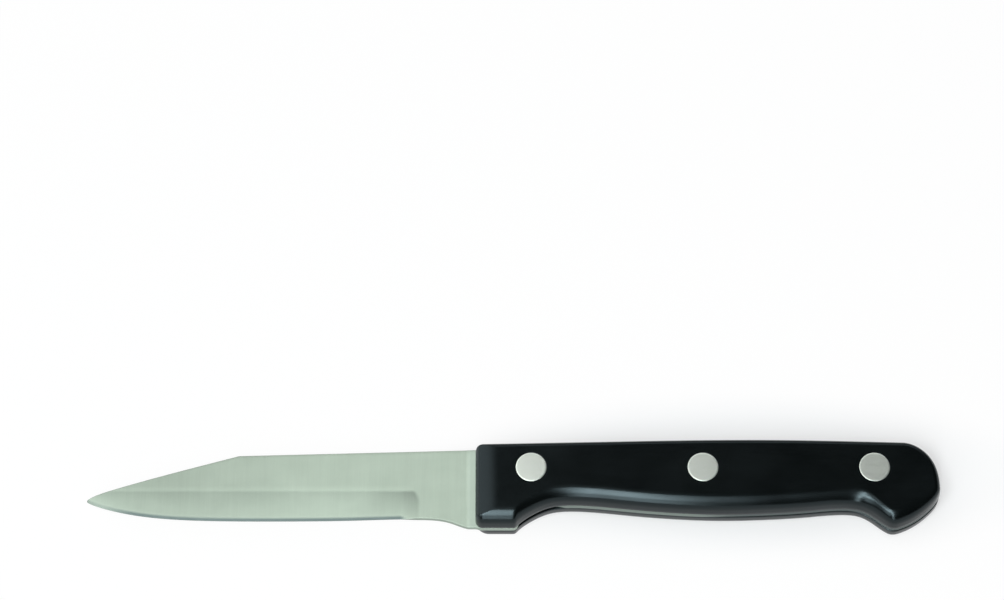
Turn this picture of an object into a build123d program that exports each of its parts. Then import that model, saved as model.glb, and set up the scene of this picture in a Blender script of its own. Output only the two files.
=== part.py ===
from build123d import *
import os
from math import cos, radians, sin, sqrt

# Paring knife, millimetres. It is drawn lying on its side: X runs from the point of the blade
# to the butt of the handle, Y from the cutting edge to the spine, and Z is square to the flat
# of the blade. While it is drawn, X is zero at the front of the handle, Y is zero on the line
# of the rivets and Z is zero in the middle of the blade. Stations are distances along X from
# the front of the handle, and drops and heights are distances under and over the rivet line.
# A share of a place on the handle is its station divided by the handle's length.

# Blade
blade_length = 88.75          # front of the handle to the point
blade_thickness = 1.2         # flat part, above the grind
clip_length = 35.65           # part of the spine that falls to the point
clip_height = 4.65            # spine where the clip begins
clip_slope = 15.8             # degrees, where the clip begins
bend_length = 4.75            # from the point to where the clip turns down
bend_drop = 4.2
point_drop = 6.5
point_round = 0.45
point_spine_slope = 32.0      # degrees, spine just behind the point
point_edge_slope = 27.0       # degrees, cutting edge just behind the point
edge_drop = 11.4              # deepest place of the cutting edge
edge_shares = (               # cutting edge in shares of the blade's length and of its drop
    (0.947, 0.749),
    (0.88, 0.866),
    (0.8, 0.944),
    (0.68, 0.99),
    (0.507, 1.0),
    (0.304, 0.965),
    (0.162, 0.95),
)
choil_drop = 11.45            # curve between the cutting edge and the finger guard
choil_station = 5.8
choil_end_slope = 12.0        # degrees, where that curve meets the strip
strip_length = 2.3            # unground strip in front of the handle
grind_drop = 3.95             # upper limit of the grind
plunge_length = 1.3           # run-out of the grind at its handle end
sharpened_height = 0.85       # small bevel at the edge
sharpened_thickness = 0.42    # steel at the top of that bevel
edge_thickness = 0.08         # what is left at the edge itself
grind_sections = 14

# Tang and the outline of the handle
tang_thickness = 1.4
handle_length = 106.1
front_height = 6.15           # spine at the front of the handle
arch_height = 7.08            # highest place of the spine
arch_share = 0.622
arch_rise_height = 6.63       # on the way up to it
arch_rise_share = 0.245
butt_height = 6.45            # spine where the butt begins to turn down
butt_share = 0.902
butt_drop = 3.3               # furthest place of the butt
butt_low_drop = 8.45          # flatter part between there and the hook
butt_low_share = 0.9793
guard_drop = 13.2             # bottom of the finger guard
guard_length = 8.3
guard_slope = 48.0            # degrees, slope of the guard's rear side
hollow_drop = 7.72            # first finger hollow
hollow_share = 0.1932
swell_drop = 8.6              # on the way down to the belly
swell_share = 0.3205
belly_drop = 9.98
belly_share = 0.5363
rise_drop = 9.2               # on the way up to the second hollow
rise_share = 0.6975
rear_hollow_drop = 8.6        # second finger hollow
rear_hollow_share = 0.7945
hook_drop = 13.5              # bottom of the hook at the butt
hook_share = 0.8944
hook_lead_shares = (0.8313, 0.685)   # where it begins, of the handle's length and the hook's drop
hook_round = 1.7
hook_front_slope = 43.0       # degrees, side of the hook towards the fingers
hook_rear_slope = 21.0        # degrees, side of the hook towards the butt

# Scales
scale_thickness = 4.3
finger_round = 3.1            # rounding along the finger side
spine_round = 1.2             # rounding along the spine and the butt
front_bevel_length = 4.1
front_bevel_depth = 0.9
front_corner = 1.0            # rounding of the front's two corners
round_steps = 8               # levels of the rounded sides

# Rivets, each a sleeve and a pin
front_rivet_share = 0.1197
middle_rivet_share = 0.4892
rear_rivet_share = 0.8582
head_diameter = 7.0
head_height = 1.7
sleeve_diameter = 4.6
pin_diameter = 3.0
sleeve_gap = 0.3              # end of the sleeve to the head of the pin
pin_gap = 0.6                 # end of the pin to the bottom of its bore
fit_clearance = 0.02          # round the heads, the sleeves and the pins

# Cuts run past what they cut by this much
overrun = 2.0

half_blade = blade_thickness / 2
half_tang = tang_thickness / 2
half_knife = half_tang + scale_thickness
rivet_stations = {
    "front": front_rivet_share * handle_length,
    "middle": middle_rivet_share * handle_length,
    "rear": rear_rivet_share * handle_length,
}


def slope(angle):
    """Direction towards the butt, at this many degrees over the line of the rivets."""
    return Vector(cos(radians(angle)), sin(radians(angle)))


def inset(level, radius):
    """How far a quarter-round of this radius has drawn in at a height over the middle."""
    climb = max(0, level - (half_knife - radius))
    return radius - sqrt(max(0, radius**2 - climb**2))


def rod(diameter, bottom, top):
    """Upright cylinder on the Z axis between two heights."""
    return Pos(0, 0, bottom) * extrude(Circle(diameter / 2), top - bottom)


def handle_curves(level):
    """Outline of the handle from the rear of the guard, round the butt, to the front of the spine."""
    lift = inset(level, finger_round)
    draw = inset(level, spine_round)
    hook_station = hook_share * handle_length
    hook_bottom = lift - hook_drop
    front_run = hook_round * sin(radians(hook_front_slope))
    front_rise = hook_round * (1 - cos(radians(hook_front_slope)))
    rear_run = hook_round * sin(radians(hook_rear_slope))
    rear_rise = hook_round * (1 - cos(radians(hook_rear_slope)))
    lead_along, lead_down = hook_lead_shares
    hook_lead = (lead_along * handle_length, lift - lead_down * hook_drop)
    hook_start = (hook_station - front_run, hook_bottom + front_rise)
    hook_end = (hook_station + rear_run, hook_bottom + rear_rise)
    butt_low = (butt_low_share * handle_length - draw, draw - butt_low_drop)
    butt_back = (handle_length - draw, -butt_drop)
    butt_top = (butt_share * handle_length, butt_height - draw)
    finger_side = Spline(
        (guard_length, lift - guard_drop),
        (hollow_share * handle_length, lift - hollow_drop),
        (swell_share * handle_length, lift - swell_drop),
        (belly_share * handle_length, lift - belly_drop),
        (rise_share * handle_length, lift - rise_drop),
        (rear_hollow_share * handle_length, lift - rear_hollow_drop),
        hook_lead,
        hook_start,
        tangents=[slope(guard_slope), slope(-hook_front_slope)],
    )
    return [
        finger_side.edge(),
        ThreePointArc(hook_start, (hook_station, hook_bottom), hook_end).edge(),
        Spline(hook_end, butt_low, butt_back, tangents=[slope(hook_rear_slope), (0, 1)]).edge(),
        Spline(butt_back, butt_top, tangents=[(0, 1), (-1, 0)]).edge(),
        Spline(
            butt_top,
            (arch_share * handle_length, arch_height - draw),
            (arch_rise_share * handle_length, arch_rise_height - draw),
            (front_corner, front_height - draw),
        ).edge(),
    ]


def scale_outline(level):
    """Closed outline of a scale at a height over the middle of the blade."""
    bottom = inset(level, finger_round) - guard_drop
    top = front_height - inset(level, spine_round)
    return Pos(0, 0, level) * Wire([
        CenterArc((front_corner, bottom + front_corner), front_corner, 180, 90).edge(),
        Line((front_corner, bottom), (guard_length, bottom)).edge(),
        *handle_curves(level),
        CenterArc((front_corner, top - front_corner), front_corner, 90, 90).edge(),
        Line((0, top - front_corner), (0, bottom + front_corner)).edge(),
    ])


def make_near_scale():
    """Scale over the tang: straight sides, rounded upper sides, a front bevel and rivet seats."""
    round_start = half_knife - finger_round
    straight = extrude(Face(scale_outline(half_tang)), round_start - half_tang)
    angles = [90 * step / round_steps for step in range(round_steps + 1)]
    levels = [round_start + finger_round * sin(radians(angle)) for angle in angles]
    rounded = Solid.make_loft([scale_outline(level) for level in levels], True)
    bevel = Plane.XZ * make_face(Polyline(
        (0, half_knife - front_bevel_depth),
        (front_bevel_length, half_knife),
        (0, half_knife),
        close=True,
    ))
    body = straight + rounded - extrude(bevel, handle_length, both=True)
    seat = rod(head_diameter + 2 * fit_clearance, half_knife - head_height, half_knife)
    hole = rod(sleeve_diameter + 2 * fit_clearance, 0, half_knife)
    for station in rivet_stations.values():
        body -= Pos(station, 0, 0) * (seat + hole)
    return body


def cutting_edge():
    """Curve of the cutting edge, from just behind the point to the end of the grind."""
    behind_point = Vector(point_round - blade_length, -point_drop)
    return Spline(
        behind_point - point_round * slope(90 - point_edge_slope),
        *[(-blade_length * along, -edge_drop * down) for along, down in edge_shares],
        tangents=[slope(-point_edge_slope), slope(0)],
    ).edge()


def blade_outline():
    """Closed outline of the blade and its tang."""
    behind_point = Vector(point_round - blade_length, -point_drop)
    point_top = behind_point - point_round * slope(point_spine_slope - 90)
    clip_start = (clip_length - blade_length, clip_height)
    edge = cutting_edge()
    return Wire([
        Line((-strip_length, -guard_drop), (guard_length, -guard_drop)).edge(),
        *handle_curves(half_tang),
        Line((front_corner, front_height), clip_start).edge(),
        Spline(
            point_top,
            (bend_length - blade_length, -bend_drop),
            clip_start,
            tangents=[slope(point_spine_slope), slope(clip_slope)],
        ).edge(),
        ThreePointArc(point_top, (-blade_length, -point_drop), edge @ 0).edge(),
        edge,
        Spline(
            edge @ 1,
            (-choil_station, -choil_drop),
            (-strip_length, -guard_drop),
            tangents=[slope(0), slope(-choil_end_slope)],
        ).edge(),
    ])


def grind_section(station, edge_y, depth):
    """Section of what one side's grind takes away, at a depth from 0, none, to 1, all of it."""
    shoulder = half_blade - depth * (half_blade - sharpened_thickness / 2)
    sharp = half_blade - depth * (half_blade - edge_thickness / 2)
    outside = half_blade + overrun
    points = [
        (-grind_drop, half_blade),
        (edge_y + sharpened_height, shoulder),
        (edge_y, sharp),
        (edge_y - overrun, sharp),
        (edge_y - overrun, outside),
        (-grind_drop, outside),
    ]
    return Wire.make_polygon([Vector(station, y, z) for y, z in points])


def make_blade():
    """Stamped strip with a full tang, thinned in front of the strip, ground and drilled."""
    strip = extrude(Face(blade_outline()), half_tang, both=True)
    edge = cutting_edge()
    shares = [step / grind_sections for step in range(grind_sections + 1)]
    places = [edge @ share for share in shares]
    sections = [grind_section(-blade_length - overrun, places[0].Y, 1)]
    sections += [grind_section(place.X, place.Y, 1) for place in places]
    sections.append(grind_section(places[-1].X + plunge_length, places[-1].Y, 0))
    grind = Solid.make_loft(sections, True)
    thinning = Pos(-strip_length, 0, half_blade) * Box(
        blade_length + overrun,
        2 * (guard_drop + overrun),
        overrun,
        align=(Align.MAX, Align.CENTER, Align.MIN),
    )
    for cut in (thinning, grind):
        strip -= cut
        strip -= mirror(cut, Plane.XY)
    hole = rod(sleeve_diameter + 2 * fit_clearance, -half_tang, half_tang)
    for station in rivet_stations.values():
        strip -= Pos(station, 0, 0) * hole
    return strip


def make_rivet_sleeve():
    """Half of a rivet with a head flush with the near scale and a bored shank."""
    seat = half_knife - head_height
    head = rod(head_diameter, seat, half_knife)
    shank = rod(sleeve_diameter, sleeve_gap - seat, seat)
    bore = rod(pin_diameter + 2 * fit_clearance, sleeve_gap - seat, seat)
    return head + shank - bore


def make_rivet_pin():
    """Half of a rivet with a head flush with the far scale and a pin inside the sleeve."""
    seat = half_knife - head_height
    return rod(head_diameter, -half_knife, -seat) + rod(pin_diameter, -seat, seat - pin_gap)


near_scale = make_near_scale()
pieces = {
    "blade": make_blade(),
    "near_scale": near_scale,
    "far_scale": mirror(near_scale, Plane.XY),
}
for place, station in rivet_stations.items():
    pieces[f"{place}_rivet_sleeve"] = Pos(station, 0, 0) * make_rivet_sleeve()
    pieces[f"{place}_rivet_pin"] = Pos(station, 0, 0) * make_rivet_pin()

# The finished knife lies on its far scale, with its origin under the middle of its outline
box = Compound(list(pieces.values())).bounding_box()
to_origin = Pos(-box.center().X, -box.center().Y, -box.min.Z)

os.makedirs("parts", exist_ok=True)
for name, piece in pieces.items():
    export_step(to_origin * piece, f"parts/{name}.step")
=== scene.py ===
from math import cos, pi, radians, sin, tan

import bmesh
import bpy
import numpy as np
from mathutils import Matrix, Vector


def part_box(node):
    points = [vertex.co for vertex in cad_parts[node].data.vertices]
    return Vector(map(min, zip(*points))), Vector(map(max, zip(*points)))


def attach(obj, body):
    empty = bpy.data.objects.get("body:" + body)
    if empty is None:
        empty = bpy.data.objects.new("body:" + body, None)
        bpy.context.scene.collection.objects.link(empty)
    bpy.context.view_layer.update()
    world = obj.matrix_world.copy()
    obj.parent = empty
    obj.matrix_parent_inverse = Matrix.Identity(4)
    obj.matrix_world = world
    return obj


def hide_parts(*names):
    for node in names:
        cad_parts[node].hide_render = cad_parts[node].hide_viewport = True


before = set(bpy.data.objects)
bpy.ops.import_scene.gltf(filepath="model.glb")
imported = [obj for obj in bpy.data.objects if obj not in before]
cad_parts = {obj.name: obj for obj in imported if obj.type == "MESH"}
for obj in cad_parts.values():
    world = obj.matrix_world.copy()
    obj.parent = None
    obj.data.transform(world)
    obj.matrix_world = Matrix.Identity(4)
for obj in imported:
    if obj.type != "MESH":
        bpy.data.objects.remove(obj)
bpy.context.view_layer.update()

# Sizes of the knife in millimetres. They are measured from a datum at the front of the handle,
# on the line of the rivets and in the middle of the blade: x towards the butt, y towards the
# spine, z square to the flat of the blade. A pair is a place, x and y, and a stretch is the two
# stations along x where something begins and is complete. Slopes are in degrees.
millimetre = 0.001

# Blade
blade_length = 88.75
half_blade = 0.6
clip_start = (-54.4, 4.52)
clip_slope = 15.8
clip_bend = (-84.0, -4.2)
point_drop = 6.5
point_round = 0.45
point_spine_slope = 32.0
point_edge_slope = 27.0
edge_drop = 11.4
edge_shares = (               # cutting edge in shares of the blade's length and of its drop
    (0.947, 0.749),
    (0.88, 0.866),
    (0.8, 0.944),
    (0.68, 0.99),
    (0.507, 1.0),
    (0.304, 0.98),
    (0.162, 0.953),
)
choil = (-5.8, -11.66)        # curve between the cutting edge and the strip
choil_end_slope = 12.0
strip_length = 1.7            # strip in front of the handle, as thick as the tang
strip_drop = 13.08
shoulder_run = 1.1            # over which the steel gets thicker there
grind_drop = 3.95
plunge_bulge = -12.4          # end of the grind below the plunge's turn
plunge_turn_drop = 6.9
plunge_top = -13.65           # and at the grind line
plunge_run = 5.0              # over which the grind gets its full depth
sharpened_height = 0.85
sharpened_half = 0.21
sharpened_end = -16.0
sharpened_run = 2.0           # over which the sharpened bevel ends
edge_half = 0.04
blade_edge_round = 0.1
least_grind_height = 0.05     # keeps the sums from a division by zero where there is no grind
least_bevel_height = 0.02

# Painted shade and highlight on the steel
line_softness = 0.5           # how far the painted shade on the ground face fades in under the grind line
plunge_softness = 1.1         # and away from the plunge
plunge_shade_length = 20.0     # how far it goes on from the plunge
plunge_shade_loss = 0.72       # share of it that is lost down to the sharpened bevel
line_shade_depth = 0.5           # how deep the painted shade is along the grind line, from 0 to 1
line_shade_power = 1.5
highlight_rise = 0.3            # middle of the painted highlight over the grind line
highlight_reach = 0.8           # and its reach to either side
# painted shade that darkens the steel towards the point, over this stretch
point_shade_stretch = (-30.0, -70.0)
point_bevel_fade_stretch = (-77.0, -87.0)
point_bevel_fade_share = 0.55            # of the sharpened bevel's painted shade that is gone at the point
bevel_contrast = 4.0          # how fast the painted shade on the bevel sets in under its top

# Handle
half_tang = 0.7
half_knife = 5.0
handle_length = 106.1
front_height = 6.04
arch = (66.0, 7.063)
arch_rise = (26.0, 6.53)
butt_top = (97.6, 6.42)
butt_shoulder = (104.1, 2.5)
butt_drop = 4.6
butt_low = (103.7, -8.8)
guard_drop = 13.35
guard_length = 9.05
guard_slope = 48.0
guard_crease_round = 1.2
guard_foot = (13.1, -10.12)
hollow = (17.0, -8.38)
hollow_crest = (22.0, -7.84)
hollow_end = (28.5, -8.2)
swell = (36.0, -8.96)
belly = ((46.0, -9.76), (56.0, -10.12), (66.0, -9.9))
rise = (76.0, -9.26)
rear_hollow = (83.2, -8.7)
hook_lead = (88.4, -9.4)
hook_lift_shares = (1.04, 1.24)  # the finger side's rounding reaches further in at the last two
hook_station = 95.4
hook_drop = 13.495
hook_round = 3.0
hook_front_slope = 31.0
hook_rear_slope = 17.0
near_finger_side = (3.5, 11.0)  # inset at the face, and lean in from square in degrees
far_finger_side = (2.6, 0.0)
spine_round = 1.2
front_bevel_length = 5.2
front_bevel_depth = 0.8
front_edge_round = 1.2
upper_front_corner = 1.85
near_lower_corner = 1.7
far_lower_corner = 3.1
groove = ((0.0, 0.09), (0.03, 0.03))  # fine groove by the tang: height over it, and depth
groove_top = 0.1
edge_highlight_depth = 0.1            # painted highlight along the top of the front edge

# Edge of the tang between the scales
strip_corner = (1.1, -13.32)  # the lower side passes here, under the scales' front corners
strip_corner_end = 2.3
strip_corner_slope = 3.0
guard_recess = 0.65           # how far it lies back behind the guard
guard_recess_start = (guard_length + 0.4, guard_length + 1.6)
guard_recess_end = (21.0, 17.5)
rear_recess = 0.14            # and along the rear half of the handle
rear_recess_start = (51.0, 58.0)
butt_recess_run = 4.0
rim_shade_at_guard = 0.35           # painted shade on the tang's edge at the guard, from 0 to 1
rim_shade_added = (               # and what is added over a stretch
    (0.35, (guard_length + 2.0, guard_length + 10.0)),
    (0.28, (48.0, 63.0)),
)

# Rivets
rivet_stations = {"front": 12.7, "middle": 51.9, "rear": 91.05}
head_radius = 3.5
head_height = 1.7
head_rim = ((0.3, 0.0), (0.1, 0.004), (0.03, 0.025), (0.0, 0.08))  # in from its side, and down
sleeve_radius = 2.3
sleeve_bevel = 0.15
pin_radius = 1.5
pin_taper = (0.3, 0.2)        # in, and along the pin
sleeve_gap = 0.3              # end of the sleeve to the head of the pin
pin_gap = 0.6                 # end of the pin to the bottom of its bore
clearance = 0.02
hole_rim = ((0.05, 0.0), (0.015, 0.015), (0.0, 0.05))  # out from the hole's side, and down
circle = np.linspace(0, 2 * pi, 97)[:-1]  # angles once round

# Spacing of the points. A hem is a narrow row of faces along a crease, which keeps it crisp.
hem = 0.13
outline_samples = 3000
clip_samples = 2000
arc_samples = 60
row_spacing = 0.42
across_shares = np.concatenate([[0, 0.011], np.linspace(0.09, 0.91, 11), [0.989, 1]])[:, None]
field_borders = (32.3, 71.5)  # lines across the handle between the rivets
hole_margin = 0.2             # from a hole's side to the round ring of points about it
bore_margin = 0.3
field_shares = (0.4, 0.8)     # places of the rows between the border's hem and that ring
round_rows = 4                # rows of points round the edges of the steel
rim_shade_shares = np.array([1, 1, 0.6, 0])[:, None]  # and how much painted shade each takes
bevel_room_share = 0.45       # of the last millimetre of height, kept over the bevel at the point
point_run = 5.0
butt_turn_start = 99.0
steel_runs = (                # stations of the steel: from, to and how many
    (-83.3, -24.0, 100),
    (-24.0, plunge_bulge, 100),
    (plunge_bulge, -4.0, 20),
    (-4.0, -1.0, 26),
    (-1.0, guard_length - 0.3, 12),
    (0.0, strip_corner_end + 0.1, 9),
    (guard_length - 0.3, guard_length + 0.5, 13),
    (guard_length + 0.5, 30.0, 50),
    (30.0, 88.0, 100),
    (88.0, butt_turn_start, 60),
)

scale_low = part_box("near_scale")[0]
rivet_low, rivet_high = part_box("front_rivet_sleeve")
blade_low, blade_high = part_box("blade")
datum = np.array([scale_low.x, (rivet_low.y + rivet_high.y) / 2, (blade_low.z + blade_high.z) / 2])


def place(points):
    """Points in the row frame, in metres, from points in millimetres about the datum."""
    return datum + np.asarray(points, float) * millimetre


def direction(angle):
    """Unit vector in the plane of the blade, at this many degrees over the x axis."""
    return np.array([cos(radians(angle)), sin(radians(angle))])


def smooth_step(t):
    """Rises from 0 to 1 over 0 < t < 1 with level ends: three t squared less two t cubed."""
    t = np.clip(t, 0, 1)
    return t * t * (3 - 2 * t)


def fade(x, start, full):
    """Smooth step over a stretch: 0 where it starts and 1 where it is complete."""
    return smooth_step((x - start) / (full - start))


def quarter_turn(count):
    """Angles from 0 to a right angle."""
    return np.linspace(0, pi / 2, count)


def spline(points, start=None, end=None, samples=700):
    """Smooth curve through the points: on each span a cubic in the length of the chords, with equal
    slope and bend where two spans meet. start and end are the slopes at its ends, and an end
    without one has no bend. The first two columns are x and y, and the others go along."""
    p = np.array(points, float)
    h = np.hypot(*np.diff(p[:, :2], axis=0).T)
    rising = np.diff(p, axis=0) / h[:, None]
    n = len(p)
    system = np.zeros((n, n))
    given = np.zeros_like(p)
    inner = np.arange(1, n - 1)
    system[inner, inner - 1] = h[1:]
    system[inner, inner] = 2 * (h[:-1] + h[1:])
    system[inner, inner + 1] = h[:-1]
    given[1:-1] = 3 * (h[1:, None] * rising[:-1] + h[:-1, None] * rising[1:])
    for row, near, slope, span in ((0, 1, start, 0), (n - 1, n - 2, end, n - 2)):
        if slope is None:
            system[row, row] = 2
            system[row, near] = 1
            given[row] = 3 * rising[span]
        else:
            system[row, row] = 1
            given[row, :2] = slope
    m = np.linalg.solve(system, given)
    at = np.concatenate([[0], np.cumsum(h)])
    s = np.linspace(0, at[-1], samples)
    k = np.clip(np.searchsorted(at, s, side="right") - 1, 0, n - 2)
    step = h[k, None]
    t = (s[:, None] - at[k, None]) / step
    return (
        (1 + 2 * t) * (1 - t) ** 2 * p[k]
        + t * (1 - t) ** 2 * step * m[k]
        + t ** 2 * (3 - 2 * t) * p[k + 1]
        + t ** 2 * (t - 1) * step * m[k + 1]
    )


def arc(centre, radius, first, last, samples):
    """Arc of a circle from one angle to another, in degrees: centre plus radius times cosine, sine."""
    a = np.radians(np.linspace(first, last, samples))
    return np.stack([centre[0] + radius * np.cos(a), centre[1] + radius * np.sin(a)], 1)


def at_stations(curve, stations):
    """The curve's rows where it crosses these stations, by straight interpolation along x."""
    rows = curve[np.argsort(curve[:, 0], kind="stable")]
    return np.stack([np.interp(stations, rows[:, 0], column) for column in rows.T], 1)


def drawn_in(curve, depth):
    """Curve moved to its left by this depth at each point, square to its own run."""
    run = np.gradient(curve, axis=0)
    length = np.maximum(np.hypot(*run.T), 1e-9)
    return curve + np.stack([-run[:, 1], run[:, 0]], 1) * (depth / length)[:, None]


# Outline of the handle. A scale's sides turn over into its face, so each point of the outline drifts
# as the side goes up: first its move for each millimetre that the finger side's rounding lifts it,
# then for each millimetre that the spine's rounding draws it in.
lifted = ((0, 1), (0, 0))
low_at_butt = ((-0.45, 0.45), (-0.5, 0.5))
back_at_butt = ((-0.25, 0), (-0.75, 0))
down_at_shoulder = ((0, 0), (-0.75, -0.75))
drawn_down = ((0, 0), (0, -1))


def with_drift(points, lift, draw):
    """Rows of x, y and the two drifts."""
    p = np.atleast_2d(np.asarray(points, float))
    return np.hstack([p, np.tile([*lift, *draw], (len(p), 1))])


hook_centre = (hook_station, hook_round - hook_drop)
hook_arc = arc(hook_centre, hook_round, 270 - hook_front_slope, 270 + hook_rear_slope, 40)
crease_reach = guard_crease_round * tan(radians(guard_slope / 2))
crease_centre = (guard_length - crease_reach, guard_crease_round - guard_drop)
crease_arc = arc(crease_centre, guard_crease_round, 270, 270 + guard_slope, 9)
finger_line = [
    crease_arc[-1], guard_foot, hollow, hollow_crest, hollow_end, swell, *belly, rise,
    rear_hollow, hook_lead, hook_arc[0],
]
finger_rows = with_drift(finger_line, *lifted)
finger_rows[-3:-1, 3] = hook_lift_shares
finger_curve = spline(
    finger_rows, direction(guard_slope), direction(-hook_front_slope), outline_samples,
)
butt_middle = with_drift((handle_length, -butt_drop), *back_at_butt)
lower_butt_curve = spline(
    [*with_drift(hook_arc[-1], *lifted), *with_drift(butt_low, *low_at_butt), *butt_middle],
    direction(hook_rear_slope), (0, 1),
)
upper_butt_curve = spline(
    [*butt_middle, *with_drift(butt_shoulder, *down_at_shoulder), *with_drift(butt_top, *drawn_down)],
    (0, 1), (-1, 0),
)
spine_line = [butt_top, arch, arch_rise, (upper_front_corner, front_height)]
spine_curve = spline(with_drift(spine_line, *drawn_down), samples=outline_samples)


# Meshes

merge_distance = 2e-7         # in metres
least_edge = 1e-8


def new_piece(name, node, slot, points, faces, marks=None, smooth=35):
    """Mesh object from points in millimetres, in place of a CAD node. Equal points are joined, faces
    are turned outwards, and edges sharper than this many degrees stay crisp. marks are values at
    the points, kept as attributes for the material. The piece rides on the knife's one body."""
    mesh = bpy.data.meshes.new(name)
    mesh.from_pydata(place(points), [], faces)
    for title, values in (marks or {}).items():
        attribute = mesh.attributes.new(title, "FLOAT", "POINT")
        attribute.data.foreach_set("value", np.ravel(values).astype(np.float32))
    shape = bmesh.new()
    shape.from_mesh(mesh)
    bmesh.ops.remove_doubles(shape, verts=shape.verts, dist=merge_distance)
    bmesh.ops.dissolve_degenerate(shape, edges=shape.edges, dist=least_edge)
    bmesh.ops.recalc_face_normals(shape, faces=shape.faces)
    shape.to_mesh(mesh)
    shape.free()
    mesh.polygons.foreach_set("use_smooth", np.ones(len(mesh.polygons), bool))
    mesh.set_sharp_from_angle(angle=radians(smooth))
    piece = bpy.data.objects.new(name, mesh)
    bpy.context.scene.collection.objects.link(piece)
    piece.data.materials.append(finishes[slot])
    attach(piece, "root")
    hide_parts(node)


def grid_faces(rows, columns, closed, first=0):
    """Quads of a grid of points numbered row by row. A closed grid's last column joins its first."""
    r = np.arange(rows - 1)[:, None] * columns + first
    c = np.arange(columns if closed else columns - 1)
    n = (c + 1) % columns
    quads = np.stack([r + c, r + n, r + columns + n, r + columns + c], -1)
    return quads.reshape(-1, 4).tolist()


def gathered(patches):
    """Points and quads of several grids of points, each given with whether it is closed."""
    points = []
    faces = []
    count = 0
    for grid, closed in patches:
        rows, columns = grid.shape[:2]
        points.append(grid.reshape(-1, 3))
        faces += grid_faces(rows, columns, closed, count)
        count += rows * columns
    return np.concatenate(points), faces


# Materials

def node_group(name, inputs, outputs):
    """Empty shader group with these named sockets: inputs as (name, type, value)."""
    group = bpy.data.node_groups.new(name, "ShaderNodeTree")
    for title, kind, value in inputs:
        socket = group.interface.new_socket(title, in_out="INPUT", socket_type=kind)
        socket.default_value = value
    for title, kind in outputs:
        group.interface.new_socket(title, in_out="OUTPUT", socket_type=kind)
    return group, group.nodes.new("NodeGroupInput"), group.nodes.new("NodeGroupOutput")


def feed(tree, socket, value):
    """Gives a socket another socket's value, a colour or a number."""
    if isinstance(value, bpy.types.NodeSocket):
        tree.links.new(value, socket)
    elif isinstance(value, tuple):
        socket.default_value = (*value, 1)
    else:
        socket.default_value = value


def math_node(tree, operation, *values, clamp=False):
    """Math node on sockets or numbers; returns its output."""
    node = tree.nodes.new("ShaderNodeMath")
    node.operation = operation
    node.use_clamp = clamp
    for socket, value in zip(node.inputs, values):
        feed(tree, socket, value)
    return node.outputs[0]


def added(tree, total, *parts, clamp=False):
    """Total plus each part times its share. The last sum may be kept from 0 to 1."""
    for number, (socket, share) in enumerate(parts, 1):
        last = number == len(parts)
        total = math_node(tree, "MULTIPLY_ADD", socket, share, total, clamp=clamp and last)
    return total


def mix_colour(tree, factor, first, second):
    """Colour mix of sockets or colours; returns its output."""
    node = tree.nodes.new("ShaderNodeMix")
    node.data_type = "RGBA"
    feed(tree, node.inputs[0], factor)
    feed(tree, node.inputs[6], first)
    feed(tree, node.inputs[7], second)
    return node.outputs[2]


def stretched_noise(tree, scale_socket, detail):
    """Noise on Object coordinates multiplied by a scale for each axis; returns its value."""
    coordinates = tree.nodes.new("ShaderNodeTexCoord")
    stretch = tree.nodes.new("ShaderNodeVectorMath")
    stretch.operation = "MULTIPLY"
    tree.links.new(coordinates.outputs["Object"], stretch.inputs[0])
    tree.links.new(scale_socket, stretch.inputs[1])
    noise = tree.nodes.new("ShaderNodeTexNoise")
    noise.inputs["Scale"].default_value = 1.0
    noise.inputs["Detail"].default_value = detail
    tree.links.new(stretch.outputs[0], noise.inputs["Vector"])
    return noise.outputs[0]


def make_grain_group():
    """Grain of a brushed or sanded surface: noise stretched along the strokes, in fine and broad
    strokes, from -1 to 1 about nothing, and a height for a bump."""
    group, given, out = node_group(
        "stroke_grain",
        [
            ("Fine scale", "NodeSocketVector", (9000, 120, 120)),
            ("Broad scale", "NodeSocketVector", (900, 30, 30)),
            ("Broad share", "NodeSocketFloat", 0.5),
        ],
        [("Strokes", "NodeSocketFloat"), ("Height", "NodeSocketFloat")],
    )
    fine = stretched_noise(group, given.outputs["Fine scale"], 1.0)
    broad = stretched_noise(group, given.outputs["Broad scale"], 3.0)
    fine = math_node(group, "MULTIPLY_ADD", fine, 2.0, -1.0)
    broad = math_node(group, "MULTIPLY_ADD", broad, 2.0, -1.0)
    fine_share = math_node(group, "SUBTRACT", 1.0, given.outputs["Broad share"])
    broad_part = math_node(group, "MULTIPLY", broad, given.outputs["Broad share"])
    both = math_node(group, "MULTIPLY_ADD", fine, fine_share, broad_part)
    group.links.new(both, out.inputs["Strokes"])
    group.links.new(math_node(group, "MULTIPLY_ADD", both, 0.5, 0.5), out.inputs["Height"])
    return group


def make_handling_group():
    """Marks of handling: soft cloudy smudges and a few short scratches, each from 0 to 1."""
    group, given, out = node_group(
        "handling_marks",
        [
            ("Smudge scale", "NodeSocketVector", (70, 110, 110)),
            ("Scratch scale", "NodeSocketVector", (160, 5200, 5200)),
            ("Scratch threshold", "NodeSocketFloat", 0.68),
        ],
        [("Smudges", "NodeSocketFloat"), ("Scratches", "NodeSocketFloat")],
    )
    clouds = stretched_noise(group, given.outputs["Smudge scale"], 4.0)
    smudges = math_node(group, "MULTIPLY_ADD", clouds, 2.5, -0.75, clamp=True)
    lines = stretched_noise(group, given.outputs["Scratch scale"], 0.0)
    over = math_node(group, "SUBTRACT", lines, given.outputs["Scratch threshold"])
    scratches = math_node(group, "MULTIPLY", over, 12.0, clamp=True)
    group.links.new(smudges, out.inputs["Smudges"])
    group.links.new(scratches, out.inputs["Scratches"])
    return group


grain_group = make_grain_group()
handling_group = make_handling_group()


def start_material(name):
    """Material with only its Principled shader and output; returns it with the tree and shader."""
    material = bpy.data.materials.new(name)
    material.use_nodes = True
    tree = material.node_tree
    tree.nodes.clear()
    shader = tree.nodes.new("ShaderNodeBsdfPrincipled")
    output = tree.nodes.new("ShaderNodeOutputMaterial")
    tree.links.new(shader.outputs[0], output.inputs["Surface"])
    return material, tree, shader


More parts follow.
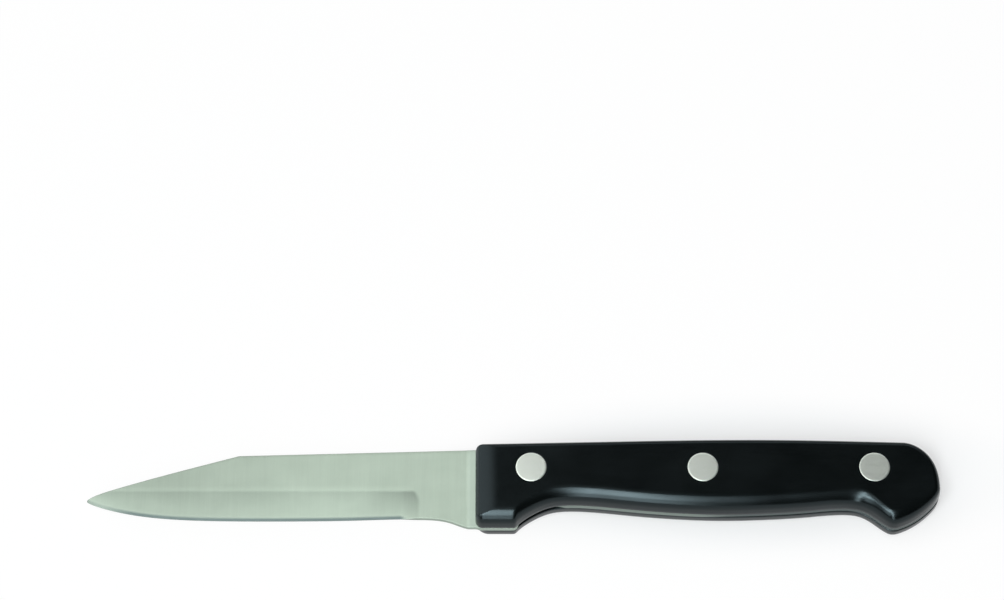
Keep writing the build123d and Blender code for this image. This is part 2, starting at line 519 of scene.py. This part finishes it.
def use_group(tree, group, **values):
    """Outputs of a group with its own values; names are given with underscores for spaces."""
    node = tree.nodes.new("ShaderNodeGroup")
    node.node_tree = group
    for title, value in values.items():
        node.inputs[title.replace("_", " ")].default_value = value
    return node.outputs


def mark(tree, name):
    """Value of one of the mesh's own marks."""
    node = tree.nodes.new("ShaderNodeAttribute")
    node.attribute_name = name
    return node.outputs["Fac"]


def bump(tree, shader, height, distance):
    """Bump of this height in metres on the shader's normal."""
    node = tree.nodes.new("ShaderNodeBump")
    node.inputs["Distance"].default_value = distance
    tree.links.new(height, node.inputs["Height"])
    tree.links.new(node.outputs[0], shader.inputs["Normal"])


# Colours, each pair from the darkest stroke to the brightest
flat_steel = ((0.402, 0.467, 0.396), (0.60, 0.697, 0.591))
# painted shade on the ground face near the grind line and the plunge
shaded_ground_steel = ((0.248, 0.291, 0.247), (0.372, 0.434, 0.37))
strip_steel = ((0.425, 0.495, 0.427), (0.634, 0.735, 0.635))
# painted shade on the sharpened bevel
shaded_bevel_steel = (0.118, 0.15, 0.143)
# painted shade on the tang's edge and the spine
shaded_steel_rim = (0.12, 0.145, 0.145)
rivet_colours = ((0.89, 1.0, 0.86), (0.98, 1.0, 0.97))
plastic_blacks = ((0.0010, 0.0015, 0.0015), (0.0030, 0.0040, 0.0040))
# painted highlight on the top of the front edge
edge_highlight_plastic = (0.035, 0.042, 0.043)
plastic_sheen_tint = (0.72, 0.93, 1.0, 1)


def make_blade_steel():
    """Stainless steel brushed from spine to edge. Near the grind line and the plunge its ground face
    is a little rougher and darkened by painted shade, with a painted highlight along the line above.
    Painted shade also darkens the steel towards the point, the sharpened bevel and the strip's
    narrow sides, and the strip at the handle is brighter."""
    material, tree, shader = start_material("brushed_blade_steel")
    shader.inputs["Metallic"].default_value = 1.0
    grain = use_group(
        tree, grain_group,
        Fine_scale=(3600, 110, 110), Broad_scale=(520, 45, 45), Broad_share=0.6,
    )
    handling = use_group(
        tree, handling_group,
        Smudge_scale=(95, 150, 150), Scratch_scale=(5600, 190, 190), Scratch_threshold=0.74,
    )
    # ground: painted shade near the grind line and the plunge, where the face is also a little rougher
    ground = mark(tree, "ground")
    sharpened = mark(tree, "sharpened")
    contrast = added(tree, 0.25, (ground, 0.08))
    tone = added(
        tree, 0.54,
        (grain["Strokes"], contrast),
        (handling["Smudges"], -0.12),
        (handling["Scratches"], 0.08),
        # painted highlight just over the grind line
        (mark(tree, "painted_line_highlight"), 0.17),
        # painted shade towards the point
        (mark(tree, "painted_shade_towards_point"), -0.38),
        clamp=True,
    )
    colour = mix_colour(tree, tone, *flat_steel)
    colour = mix_colour(tree, ground, colour, mix_colour(tree, tone, *shaded_ground_steel))
    # painted shade on the sharpened bevel, which is also smoother
    colour = mix_colour(tree, sharpened, colour, shaded_bevel_steel)
    colour = mix_colour(tree, mark(tree, "strip"), colour, mix_colour(tree, tone, *strip_steel))
    # painted shade on the tang's edge and the spine
    colour = mix_colour(tree, mark(tree, "rim"), colour, shaded_steel_rim)
    roughness = added(
        tree, 0.60,
        (grain["Strokes"], 0.05), (ground, 0.03), (sharpened, -0.15), (handling["Smudges"], 0.04),
    )
    tree.links.new(colour, shader.inputs["Base Color"])
    tree.links.new(roughness, shader.inputs["Roughness"])
    bump(tree, shader, grain["Height"], 0.000006)
    return material


def make_rivet_metal():
    """Rivet heads ground flush with the handle: fine strokes along it and a few scratches."""
    material, tree, shader = start_material("ground_rivet_metal")
    shader.inputs["Metallic"].default_value = 1.0
    grain = use_group(
        tree, grain_group,
        Fine_scale=(400, 6500, 900), Broad_scale=(160, 1500, 300), Broad_share=0.5,
    )
    handling = use_group(
        tree, handling_group,
        Smudge_scale=(420, 420, 420), Scratch_scale=(420, 7200, 7200), Scratch_threshold=0.7,
    )
    tone = added(
        tree, 0.5,
        (grain["Strokes"], 0.16), (handling["Smudges"], -0.06), (handling["Scratches"], 0.1),
        clamp=True,
    )
    roughness = added(tree, 0.35, (grain["Strokes"], 0.06))
    tree.links.new(mix_colour(tree, tone, *rivet_colours), shader.inputs["Base Color"])
    tree.links.new(roughness, shader.inputs["Roughness"])
    bump(tree, shader, grain["Height"], 0.000008)
    return material


def make_black_plastic():
    """Satin black moulded plastic: fine sanding strokes along the faces, a soft moulded texture,
    smudges and a few scratches, and a painted highlight along the top of the front edge."""
    material, tree, shader = start_material("satin_black_plastic")
    shader.inputs["Specular IOR Level"].default_value = 0.355
    shader.inputs["Specular Tint"].default_value = plastic_sheen_tint
    grain = use_group(
        tree, grain_group,
        Fine_scale=(260, 5200, 2600), Broad_scale=(60, 900, 700), Broad_share=0.4,
    )
    handling = use_group(
        tree, handling_group,
        Smudge_scale=(90, 150, 150), Scratch_scale=(150, 5600, 3800), Scratch_threshold=0.72,
    )
    painted_edge_highlight = mark(tree, "painted_edge_highlight")
    tone = added(
        tree, 0.4,
        (grain["Strokes"], 0.25), (handling["Smudges"], 0.15), (handling["Scratches"], 0.3),
        clamp=True,
    )
    black = mix_colour(tree, tone, *plastic_blacks)
    roughness = added(tree, 0.2, (handling["Smudges"], 0.06), (grain["Strokes"], 0.04), (painted_edge_highlight, 0.06))
    # painted highlight on the top of the front edge, where the plastic is also a little rougher
    tree.links.new(mix_colour(tree, painted_edge_highlight, black, edge_highlight_plastic), shader.inputs["Base Color"])
    tree.links.new(roughness, shader.inputs["Roughness"])
    bump(tree, shader, grain["Height"], 0.000003)
    return material


finishes = {
    "blade_steel": make_blade_steel(),
    "rivet_metal": make_rivet_metal(),
    "black_plastic": make_black_plastic(),
}


# Blade and tang

def tang_recess(x):
    """How far the tang's edge lies back from the sides of the scales: most behind the guard, then
    none along the finger hollow, and a little from the middle of the handle to the butt."""
    behind_guard = fade(x, *guard_recess_start) * fade(x, *guard_recess_end)
    return guard_recess * behind_guard + rear_recess * fade(x, *rear_recess_start)


def rim_shade(x):
    """Painted shade on the steel's narrow sides: least at the guard, and more over each stretch after
    it.
    """
    return rim_shade_at_guard + sum(more * fade(x, *stretch) for more, stretch in rim_shade_added)


def blade_limits():
    """Curves of the steel strip's lower and upper side, dense in x, from the point to the butt."""
    behind_point = np.array([point_round - blade_length, -point_drop])
    lower_point = arc(behind_point, point_round, 180, 270 - point_edge_slope, arc_samples)
    upper_point = arc(behind_point, point_round, 180, 90 + point_spine_slope, arc_samples)
    edge_line = [(-blade_length * along, -edge_drop * down) for along, down in edge_shares]
    edge = spline(
        [lower_point[-1], *edge_line], direction(-point_edge_slope), direction(0), outline_samples,
    )
    to_strip = spline(
        [edge[-1], choil, (-strip_length, -strip_drop)], direction(0), direction(-choil_end_slope),
    )
    clip = spline(
        [upper_point[-1], clip_bend, clip_start],
        direction(point_spine_slope), direction(clip_slope), clip_samples,
    )
    corner = spline(
        [(0, -strip_drop), strip_corner, (strip_corner_end, -guard_drop)],
        direction(-strip_corner_slope), direction(0), arc_samples,
    )
    tang = [corner, crease_arc, finger_curve[1:, :2], hook_arc[1:], lower_butt_curve[1:, :2]]
    tang = np.concatenate(tang)
    tang = drawn_in(tang, tang_recess(tang[:, 0]))
    butt = upper_butt_curve[::-1, :2]
    butt = drawn_in(butt, -rear_recess * fade(butt[:, 0], butt_top[0], butt_top[0] + butt_recess_run))
    lower = np.concatenate([lower_point, edge, to_strip, tang])
    upper = np.concatenate([upper_point, clip, spine_curve[::-1, :2], butt])
    return lower, upper


def strip_stations():
    """Stations along the strip: by equal angles round the point and the butt, closer together the
    nearer they are to the point, and elsewhere as many as each run asks for."""
    point = -blade_length
    butt = handle_length - rear_recess
    stations = np.concatenate([
        point + point_round * (1 - np.cos(quarter_turn(9))),
        point + point_round + point_run * np.linspace(0, 1, 16) ** 1.6,
        *[np.linspace(*run) for run in steel_runs],
        butt - (butt - butt_turn_start) * (1 - np.sin(quarter_turn(36))),
    ])
    return np.unique(np.round(stations, 5))


def face_height(x, y, edge_y):
    """Half thickness of the steel, and its marks. Above the grind line it is level. Below it, it
    falls in a straight line to the top of the sharpened bevel and from there to the edge. The grind
    fades out over the plunge, whose end bulges towards the handle in a parabola, and the strip at
    the handle and the tang are a little thicker."""
    bevelled = np.clip((sharpened_end + sharpened_run / 2 - x) / sharpened_run, 0, 1)
    bevel_top = edge_y + sharpened_height * bevelled
    under_line = -grind_drop - y
    grind_height = np.maximum(-grind_drop - bevel_top, least_grind_height)
    bevel_height = np.maximum(bevel_top - edge_y, least_bevel_height)
    fall = np.clip(under_line / grind_height, 0, 1)
    sharp = np.clip((bevel_top - y) / bevel_height, 0, 1)
    ground = half_blade - (half_blade - sharpened_half) * fall
    ground = ground - (sharpened_half - edge_half) * sharp * bevelled
    above_turn = np.clip((y + plunge_turn_drop) / (plunge_turn_drop - grind_drop), 0, 1)
    end = plunge_bulge + (plunge_top - plunge_bulge) * above_turn ** 2
    depth = smooth_step((end - x) / plunge_run)
    thicker = fade(x, -strip_length - shoulder_run / 2, -strip_length + shoulder_run / 2)
    height = half_blade - depth * (half_blade - ground) + thicker * (half_tang - half_blade)

    begun = smooth_step((end - x) / plunge_softness)
    from_plunge = (end - x - plunge_softness) / plunge_shade_length
    # painted shade on the ground face, past the plunge and along the grind line
    by_plunge = begun * np.clip(1 - from_plunge, 0, 1) * (1 - plunge_shade_loss * fall)
    by_line = line_shade_depth * begun * (1 - fall) ** line_shade_power
    # painted highlight just over the grind line
    off_highlight = np.abs(under_line + highlight_rise) / highlight_reach
    # painted shade on the sharpened bevel, less of it at the point
    dark_bevel = np.clip(bevel_contrast * sharp, 0, 1) * bevelled
    dark_bevel = dark_bevel * (1 - point_bevel_fade_share * fade(x, *point_bevel_fade_stretch))
    marks = {
        "ground": np.maximum(by_plunge, by_line) * np.clip(under_line / line_softness, 0, 1),
        "painted_line_highlight": begun * np.clip(1 - off_highlight, 0, 1),
        # painted shade towards the point
        "painted_shade_towards_point": fade(x, *point_shade_stretch) * np.ones_like(y),
        "sharpened": depth * dark_bevel,
        "strip": thicker * np.ones_like(y),
    }
    return height, marks


def make_blade():
    """Strip of steel as a ring of points carried along x: up one face from the edge to the spine in
    rows that follow the bevel and the grind line, over the rounded spine and down the other face.
    Edges are quarter rounds: a row lies in by 1 less the cosine and sinks by 1 less the sine."""
    lower, upper = blade_limits()
    x = strip_stations()
    low = np.interp(x, lower[:, 0], lower[:, 1])
    high = np.maximum(np.interp(x, upper[:, 0], upper[:, 1]), low + 1e-4)
    tall = high - low
    room = bevel_room_share * np.minimum(tall, 1.0)
    bevel_y = np.minimum(low + sharpened_height, high - room)
    grind_y = np.clip(-grind_drop, bevel_y, high)
    narrow = np.minimum(hem, tall / 12)

    def span(first, last, count, first_hem=1, last_hem=1):
        """Rows between two curves, with a narrow row at either end unless its hem is 0."""
        start = first + first_hem * narrow
        end = np.maximum(last - last_hem * narrow, start)
        return np.clip(start + (end - start) * np.linspace(0, 1, count)[:, None], first, last)

    finished = fade(x, sharpened_end - 1, sharpened_end + 2)
    upper_round = np.minimum(blade_edge_round, tall / 6)
    lower_round = finished * upper_round
    inward = 1 - np.cos(quarter_turn(round_rows))[:, None]
    sunk = 1 - np.sin(quarter_turn(round_rows))[:, None]
    y_rows = np.concatenate([
        low + lower_round * inward,
        span(low + lower_round, bevel_y, 4, first_hem=0),
        span(bevel_y, grind_y, 20),
        span(grind_y, high - upper_round, 16, last_hem=0),
        high - upper_round * inward[::-1],
    ])
    y_rows = np.maximum.accumulate(y_rows, axis=0)
    height, marks = face_height(x[None, :], y_rows, low[None, :])
    height[:round_rows] -= np.minimum(lower_round * sunk, height[:round_rows] * 0.6)
    height[-round_rows:] -= np.minimum(upper_round * sunk[::-1], height[-round_rows:] * 0.6)
    # painted shade on the rows round the tang's edge and the spine
    marks["rim"] = np.zeros_like(height)
    marks["rim"][:round_rows] = rim_shade(x) * finished * rim_shade_shares
    marks["rim"][-round_rows:] = rim_shade(x) * rim_shade_shares[::-1]

    ring_y = np.concatenate([y_rows, y_rows[::-1]])
    ring_z = np.concatenate([height, -height[::-1]])
    grid = np.stack([np.broadcast_to(x, ring_y.shape), ring_y, ring_z], -1).transpose(1, 0, 2)
    faces = grid_faces(len(x), len(ring_y), True)
    up = np.arange(len(y_rows) - 1)
    down = len(ring_y) - 1 - up
    for ring_start in (0, (len(x) - 1) * len(ring_y)):
        faces += (ring_start + np.stack([up, up + 1, down - 1, down], -1)).tolist()
    both_sides = {name: np.concatenate([value, value[::-1]]).T for name, value in marks.items()}
    new_piece(
        "paring_blade", "blade", "blade_steel", grid.reshape(-1, 3), faces, both_sides, smooth=30,
    )


# Scales

def corner_rise(x, radius):
    """How far a quarter-round corner of this radius lies in from the straight side, at x from its
    front: the radius less the root of radius squared less what is left of it squared."""
    left = radius - np.minimum(x, radius)
    return radius - np.sqrt(radius ** 2 - left ** 2)


def front_top(x):
    """Height of the face: at the front it falls in a parabola, and the front edge is an arc."""
    bevel = front_bevel_depth * np.clip(1 - x / front_bevel_length, 0, 1) ** 2
    left = front_edge_round - np.clip(x, 0, front_edge_round)
    return half_knife - bevel - front_edge_round + np.sqrt(front_edge_round ** 2 - left ** 2)


def evenly(curve, first, last):
    """Rows of a curve between two stations, evenly spaced along x."""
    count = max(2, round(abs(last - first) / row_spacing) + 1)
    return at_stations(curve, np.linspace(first, last, count))


def scale_rows(lower_corner):
    """The scale's outline as rows with their drifts, once round from the lower front corner, and the
    rows at which the front bevel and the three rivets' fields begin and end."""
    corner = front_edge_round * (1 - np.cos(quarter_turn(10)))
    front = np.concatenate([corner, np.linspace(front_edge_round, front_bevel_length, 11)[1:]])
    lower_y = corner_rise(front, lower_corner) - guard_drop
    spine_y = at_stations(spine_curve, np.maximum(front, upper_front_corner))[:, 1]
    upper_y = spine_y - corner_rise(front, upper_front_corner)
    lower_front = with_drift(np.stack([front, lower_y], 1), *lifted)
    upper_front = with_drift(np.stack([front, upper_y], 1), *drawn_down)
    guard = np.linspace(front_bevel_length, crease_arc[0, 0], 9)[1:-1]
    guard = np.stack([guard, np.full_like(guard, -guard_drop)], 1)
    front_field, rear_field = field_borders
    parts = {
        "lower front": lower_front,
        "guard": with_drift(guard, *lifted),
        "crease": with_drift(crease_arc, *lifted)[:-1],
        "finger hollow": evenly(finger_curve, crease_arc[-1, 0], front_field),
        "belly": evenly(finger_curve, front_field, rear_field)[1:],
        "rear hollow": evenly(finger_curve, rear_field, hook_arc[0, 0])[1:-1],
        "hook": with_drift(hook_arc[::4], *lifted),
        "lower butt": lower_butt_curve[::12][1:],
        "upper butt": upper_butt_curve[::12][1:],
        "rear spine": evenly(spine_curve, butt_top[0], rear_field)[1:],
        "middle spine": evenly(spine_curve, rear_field, front_field)[1:],
        "front spine": evenly(spine_curve, front_field, front_bevel_length)[1:-1],
        "upper front": upper_front[::-1],
    }
    ends = dict(zip(parts, np.cumsum([len(part) for part in parts.values()])))
    across = across_shares[::-1][1:-1]
    front_line = lower_front[0] * (1 - across) + upper_front[0] * across
    cuts = {
        "lower": [ends["lower front"] - 1, ends["finger hollow"] - 1, ends["belly"] - 1],
        "upper": [ends["front spine"], ends["middle spine"] - 1, ends["rear spine"] - 1],
        "front": len(front),
        "upper end": ends["upper front"] - 1,
    }
    return np.concatenate([*parts.values(), front_line]), cuts


def finger_arc(inset, lean):
    """Radius of the arc on the finger side, and the height at which it begins. The side leans in,
    and the arc meets it and the face without a corner: side times sine plus radius times cosine
    is the inset, and side times cosine plus radius times 1 less the sine is the thickness."""
    side, radius = np.linalg.solve(
        [[sin(lean), cos(lean)], [cos(lean), 1 - sin(lean)]], [inset, half_knife - half_tang],
    )
    return radius, half_tang + side * cos(lean)


def side_levels(x, radius, begins, lean):
    """Heights of the rows of points up a scale's side: at the groove, half way up to the arc, then
    by equal angles round it, up to the front bevel's sloping top."""
    feet = half_tang + np.array([over for over, _ in groove] + [groove_top])
    feet = np.append(feet, (half_tang + begins) / 2)
    middle = half_knife - radius
    steepest = np.arcsin((front_top(x) - middle) / radius)
    round_levels = middle + radius * np.sin(lean + np.linspace(0, 1, 19)[:, None] * (steepest - lean))
    return np.concatenate([np.repeat(feet[:, None], len(x), 1), round_levels])


def side_inset(levels, radius, reach, begins, lean):
    """Inset at each level: up to where the arc begins it is the height times the tangent of the
    lean, and over that the arc's reach less the root of radius squared less climb squared."""
    climb = np.clip(levels - (half_knife - radius), 0, radius)
    turned = reach - np.sqrt(radius ** 2 - climb ** 2)
    inset = np.where(levels < begins, (levels - half_tang) * tan(lean), turned)
    inset[:len(groove)] += np.array([depth for _, depth in groove])[:, None]
    return inset


def field_border(border, cuts, number):
    """Points round one rivet's field: the outline, and the lines across the handle between fields."""
    shares = across_shares[1:-1]
    first = cuts["lower"][number]
    last = cuts["upper"][number]
    left = border[last] * (1 - shares) + border[first] * shares
    if number + 1 == len(cuts["lower"]):
        return np.concatenate([border[first:last + 1], left])
    next_first = cuts["lower"][number + 1]
    next_last = cuts["upper"][number + 1]
    right = border[next_first] * (1 - shares) + border[next_last] * shares
    return np.concatenate([border[first:next_first + 1], right, border[next_last:last + 1], left])


def ring(centre, border, radius, height):
    """Circle round a rivet, each point on the line from its middle to the border's point."""
    away = border[:, :2] - centre
    away = away / np.hypot(*away.T)[:, None]
    return np.column_stack([centre + radius * away, np.full(len(border), height)])


def field(border, inner):
    """Rows on straight lines from the border to a ring, the first one narrow."""
    gap = inner - border
    near = border + gap * np.minimum(hem / np.linalg.norm(gap, axis=1), 0.3)[:, None]
    return [border, near, *[near + (inner - near) * share for share in field_shares], inner]


def rivet_field(station, face, under):
    """Grid from the face's border in to a rivet's hole, down past the seat of its head to the
    underside, and out to the border there."""
    centre = np.array([station, 0.0])
    hole = head_radius + clearance
    bore = sleeve_radius + clearance
    seat = half_knife - head_height
    return np.stack([
        *field(face, ring(centre, face, hole + hole_margin, half_knife)),
        *[ring(centre, face, hole + out, half_knife - down) for out, down in hole_rim],
        ring(centre, face, hole, seat),
        ring(centre, face, bore, seat),
        ring(centre, under, bore, half_tang),
        *field(under, ring(centre, under, bore + bore_margin, half_tang))[::-1],
    ])


def make_scale(name, node, side, lower_corner, finger_inset, finger_lean):
    """Handle scale: the outline's rows, moved by their drifts times the insets of each level. The
    finger side leans in from the tang by a few degrees and turns over in an arc. At the spine the
    side is square and the arc small. The face and the underside are fields of points between the
    outline and each rivet's seat. side is 1 for the near scale and -1 for the far one."""
    rows, cuts = scale_rows(lower_corner)
    x, y, lift_x, lift_y, draw_x, draw_y = rows.T
    lean = radians(finger_lean)
    radius, begins = finger_arc(finger_inset, lean)
    levels = side_levels(x, radius, begins, lean)
    lift = side_inset(levels, radius, finger_inset, begins - 1e-9, lean)
    draw = side_inset(levels, spine_round, spine_round, half_knife - spine_round, 0)
    grid = np.stack([
        x + lift * lift_x + draw * draw_x,
        y + lift * lift_y + draw * draw_y,
        levels,
    ], -1)
    face = grid[-1]
    under = grid[0]
    patches = [(grid, True)]
    for level in (face, under):
        lower = level[:cuts["front"]][:, None]
        upper = level[cuts["upper end"] - np.arange(cuts["front"])][:, None]
        patches.append((lower * (1 - across_shares) + upper * across_shares, False))
    for number, station in enumerate(rivet_stations.values()):
        borders = [field_border(level, cuts, number) for level in (face, under)]
        patches.append((rivet_field(station, *borders), True))
    points, faces = gathered(patches)
    # painted highlight along the top of the front edge
    at_front = np.clip(1 - points[:, 0] / front_edge_round, 0, 1)
    painted_edge_highlight = at_front * (points[:, 2] > front_top(0) - edge_highlight_depth)
    new_piece(name, node, "black_plastic", points * [1, 1, side], faces, {"painted_edge_highlight": painted_edge_highlight})


# Rivets

def make_turned(name, node, station, profile):
    """Turned piece: a closed profile of radius and height carried once round the rivet's axis."""
    radius, height = np.array(profile, float).T[:, :, None]
    grid = np.stack([
        station + radius * np.cos(circle),
        radius * np.sin(circle),
        np.repeat(height, len(circle), 1),
    ], -1)
    faces = grid_faces(len(radius), len(circle), True)
    new_piece(name, node, "rivet_metal", grid.reshape(-1, 3), faces)


def make_rivet(name, station):
    """Sleeve with its head in the near scale, and pin with its head in the far scale."""
    seat = half_knife - head_height
    sleeve_end = sleeve_gap - seat
    bore = pin_radius + clearance
    pin_end = seat - pin_gap
    pin_in, pin_along = pin_taper
    head = [
        (0, half_knife),
        *[(head_radius - inward, half_knife - down) for inward, down in head_rim],
        (head_radius, seat),
    ]
    make_turned(f"{name}_sleeve_half", f"{name}_rivet_sleeve", station, [
        *head,
        (sleeve_radius, seat),
        (sleeve_radius, sleeve_end + sleeve_bevel),
        (sleeve_radius - sleeve_bevel, sleeve_end),
        (bore, sleeve_end),
        (bore, seat),
        (0, seat),
    ])
    make_turned(f"{name}_pin_half", f"{name}_rivet_pin", station, [
        *[(radius, -height) for radius, height in head],
        (pin_radius, -seat),
        (pin_radius, pin_end - pin_along),
        (pin_radius - pin_in, pin_end),
        (0, pin_end),
    ])


make_blade()
make_scale("near_handle_scale", "near_scale", 1, near_lower_corner, *near_finger_side)
make_scale("far_handle_scale", "far_scale", -1, far_lower_corner, *far_finger_side)
for rivet_name, rivet_station in rivet_stations.items():
    make_rivet(rivet_name, rivet_station)


# Floor, lamps and camera, in metres

floor_level = -0.0002
level_reach = 2.0             # the floor is level out to here
rim_reach = 3.4
rim_height = 0.672
paper_grey = (0.85, 0.85, 0.85, 1)
shade_centre = (0.052, 0.005, 0.0)  # ellipse about the handle
shade_reach = (0.075, 0.022, 1.0)
shade_border = (0.55, 1.05)   # where it goes over into white, in shares of that reach
near_white = 0.45             # share of plain white in the floor inside it
far_white = 0.94              # and outside


def make_paper():
    """Pale matt paper. In an ellipse about the handle it takes its light and shadow from the lamps,
    and further out it is nearly plain white to the camera, in gloss and through glass."""
    material, tree, shader = start_material("pale_paper")
    shader.inputs["Base Color"].default_value = paper_grey
    shader.inputs["Roughness"].default_value = 0.9
    shader.inputs["Specular IOR Level"].default_value = 0.1
    white = tree.nodes.new("ShaderNodeEmission")
    path = tree.nodes.new("ShaderNodeLightPath")
    seen = math_node(tree, "ADD", path.outputs["Is Camera Ray"], path.outputs["Is Glossy Ray"])
    seen = math_node(tree, "ADD", seen, path.outputs["Is Transmission Ray"], clamp=True)
    coordinates = tree.nodes.new("ShaderNodeTexCoord")
    centred = tree.nodes.new("ShaderNodeMapping")
    centred.vector_type = "TEXTURE"
    centred.inputs["Location"].default_value = shade_centre
    centred.inputs["Scale"].default_value = shade_reach
    tree.links.new(coordinates.outputs["Object"], centred.inputs["Vector"])
    away = tree.nodes.new("ShaderNodeVectorMath")
    away.operation = "LENGTH"
    tree.links.new(centred.outputs[0], away.inputs[0])
    ramp = tree.nodes.new("ShaderNodeMapRange")
    ramp.interpolation_type = "SMOOTHSTEP"
    ramp_values = (*shade_border, near_white, far_white)
    for title, value in zip(("From Min", "From Max", "To Min", "To Max"), ramp_values):
        ramp.inputs[title].default_value = value
    tree.links.new(away.outputs["Value"], ramp.inputs["Value"])
    blend = tree.nodes.new("ShaderNodeMixShader")
    tree.links.new(math_node(tree, "MULTIPLY", ramp.outputs["Result"], seen), blend.inputs["Fac"])
    tree.links.new(shader.outputs[0], blend.inputs[1])
    tree.links.new(white.outputs[0], blend.inputs[2])
    tree.links.new(blend.outputs[0], tree.nodes["Material Output"].inputs["Surface"])
    return material


def make_floor():
    """Round pale sweep: level under the knife and around it, then rising in a parabola to its rim."""
    level = np.linspace(0.2, level_reach, 10)
    rising = np.linspace(level_reach + 0.1, rim_reach, 14)
    radius = np.concatenate([[0.0], level, rising])
    climb = np.clip((radius - level_reach) / (rim_reach - level_reach), 0, 1)
    height = floor_level + rim_height * climb ** 2
    points = np.stack([
        radius[:, None] * np.cos(circle),
        radius[:, None] * np.sin(circle),
        np.repeat(height[:, None], len(circle), 1),
    ], -1)
    mesh = bpy.data.meshes.new("pale_sweep")
    mesh.from_pydata(points.reshape(-1, 3), [], grid_faces(len(radius), len(circle), True))
    shape = bmesh.new()
    shape.from_mesh(mesh)
    bmesh.ops.remove_doubles(shape, verts=shape.verts, dist=1e-6)
    shape.to_mesh(mesh)
    shape.free()
    floor = bpy.data.objects.new("pale_sweep", mesh)
    bpy.context.scene.collection.objects.link(floor)
    floor.data.materials.append(make_paper())


# Each lamp's place, target, size, power in watts and colour
cool_white = (0.94, 0.985, 1.0)
plain_white = (1.0, 1.0, 1.0)
lamps = {
    "tall_key_softbox": ((-0.05, -0.398, 0.866), (-0.05, 0, 0), (0.12, 0.74), 4.7, cool_white),
    "low_front_softbox": ((-0.05, -0.834, 0.455), (-0.05, 0, 0), (0.12, 0.545), 1.6, cool_white),
    "tall_left_softbox": ((-0.345, -0.525, 0.672), (0.086, 0, 0), (0.3, 0.68), 2.1, cool_white),
    "small_left_softbox": ((-0.245, -0.32, 0.84), (0.086, 0, 0), (0.2, 0.25), 1.95, cool_white),
    "left_panel": ((-0.322, 0.25, 0.78), (0, 0, 0), (0.383, 0.7), 1.45, plain_white),
    "low_left_panel": ((-0.70, 0.38, 0.36), (0, 0, 0), (0.4, 0.6), 0.8, plain_white),
    "back_panel": ((0.0, 0.80, 0.72), (0, 0, 0), (1.0, 0.5), 1.8, plain_white),
}
world_strength = 0.02


def make_lamp(name, position, target, size, power, colour):
    """Soft rectangular lamp that faces its target."""
    lamp = bpy.data.lights.new(name, "AREA")
    lamp.color = colour
    lamp.shape = "RECTANGLE"
    lamp.size, lamp.size_y = size
    lamp.energy = power
    holder = bpy.data.objects.new(name, lamp)
    holder.location = position
    aim = Vector(target) - Vector(position)
    holder.rotation_euler = aim.to_track_quat("-Z", "Y").to_euler()
    bpy.context.scene.collection.objects.link(holder)


make_floor()
for lamp_name, lamp_values in lamps.items():
    make_lamp(lamp_name, *lamp_values)

world = bpy.data.worlds.new("studio")
world.use_nodes = True
world.node_tree.nodes["Background"].inputs["Color"].default_value = (1, 1, 1, 1)
world.node_tree.nodes["Background"].inputs["Strength"].default_value = world_strength
bpy.context.scene.world = world

camera_place = (6.06, -306.53, 740.04)  # in millimetres from the datum
camera_tilt = 25.376
camera_data = bpy.data.cameras.new("camera")
camera_data.lens = 125.07
camera_data.sensor_width = 36
camera = bpy.data.objects.new("camera", camera_data)
camera.location = place(camera_place)
camera.rotation_euler = (radians(camera_tilt), 0, 0)
bpy.context.scene.collection.objects.link(camera)
bpy.context.scene.camera = camera
bpy.context.scene.view_settings.view_transform = "Standard"
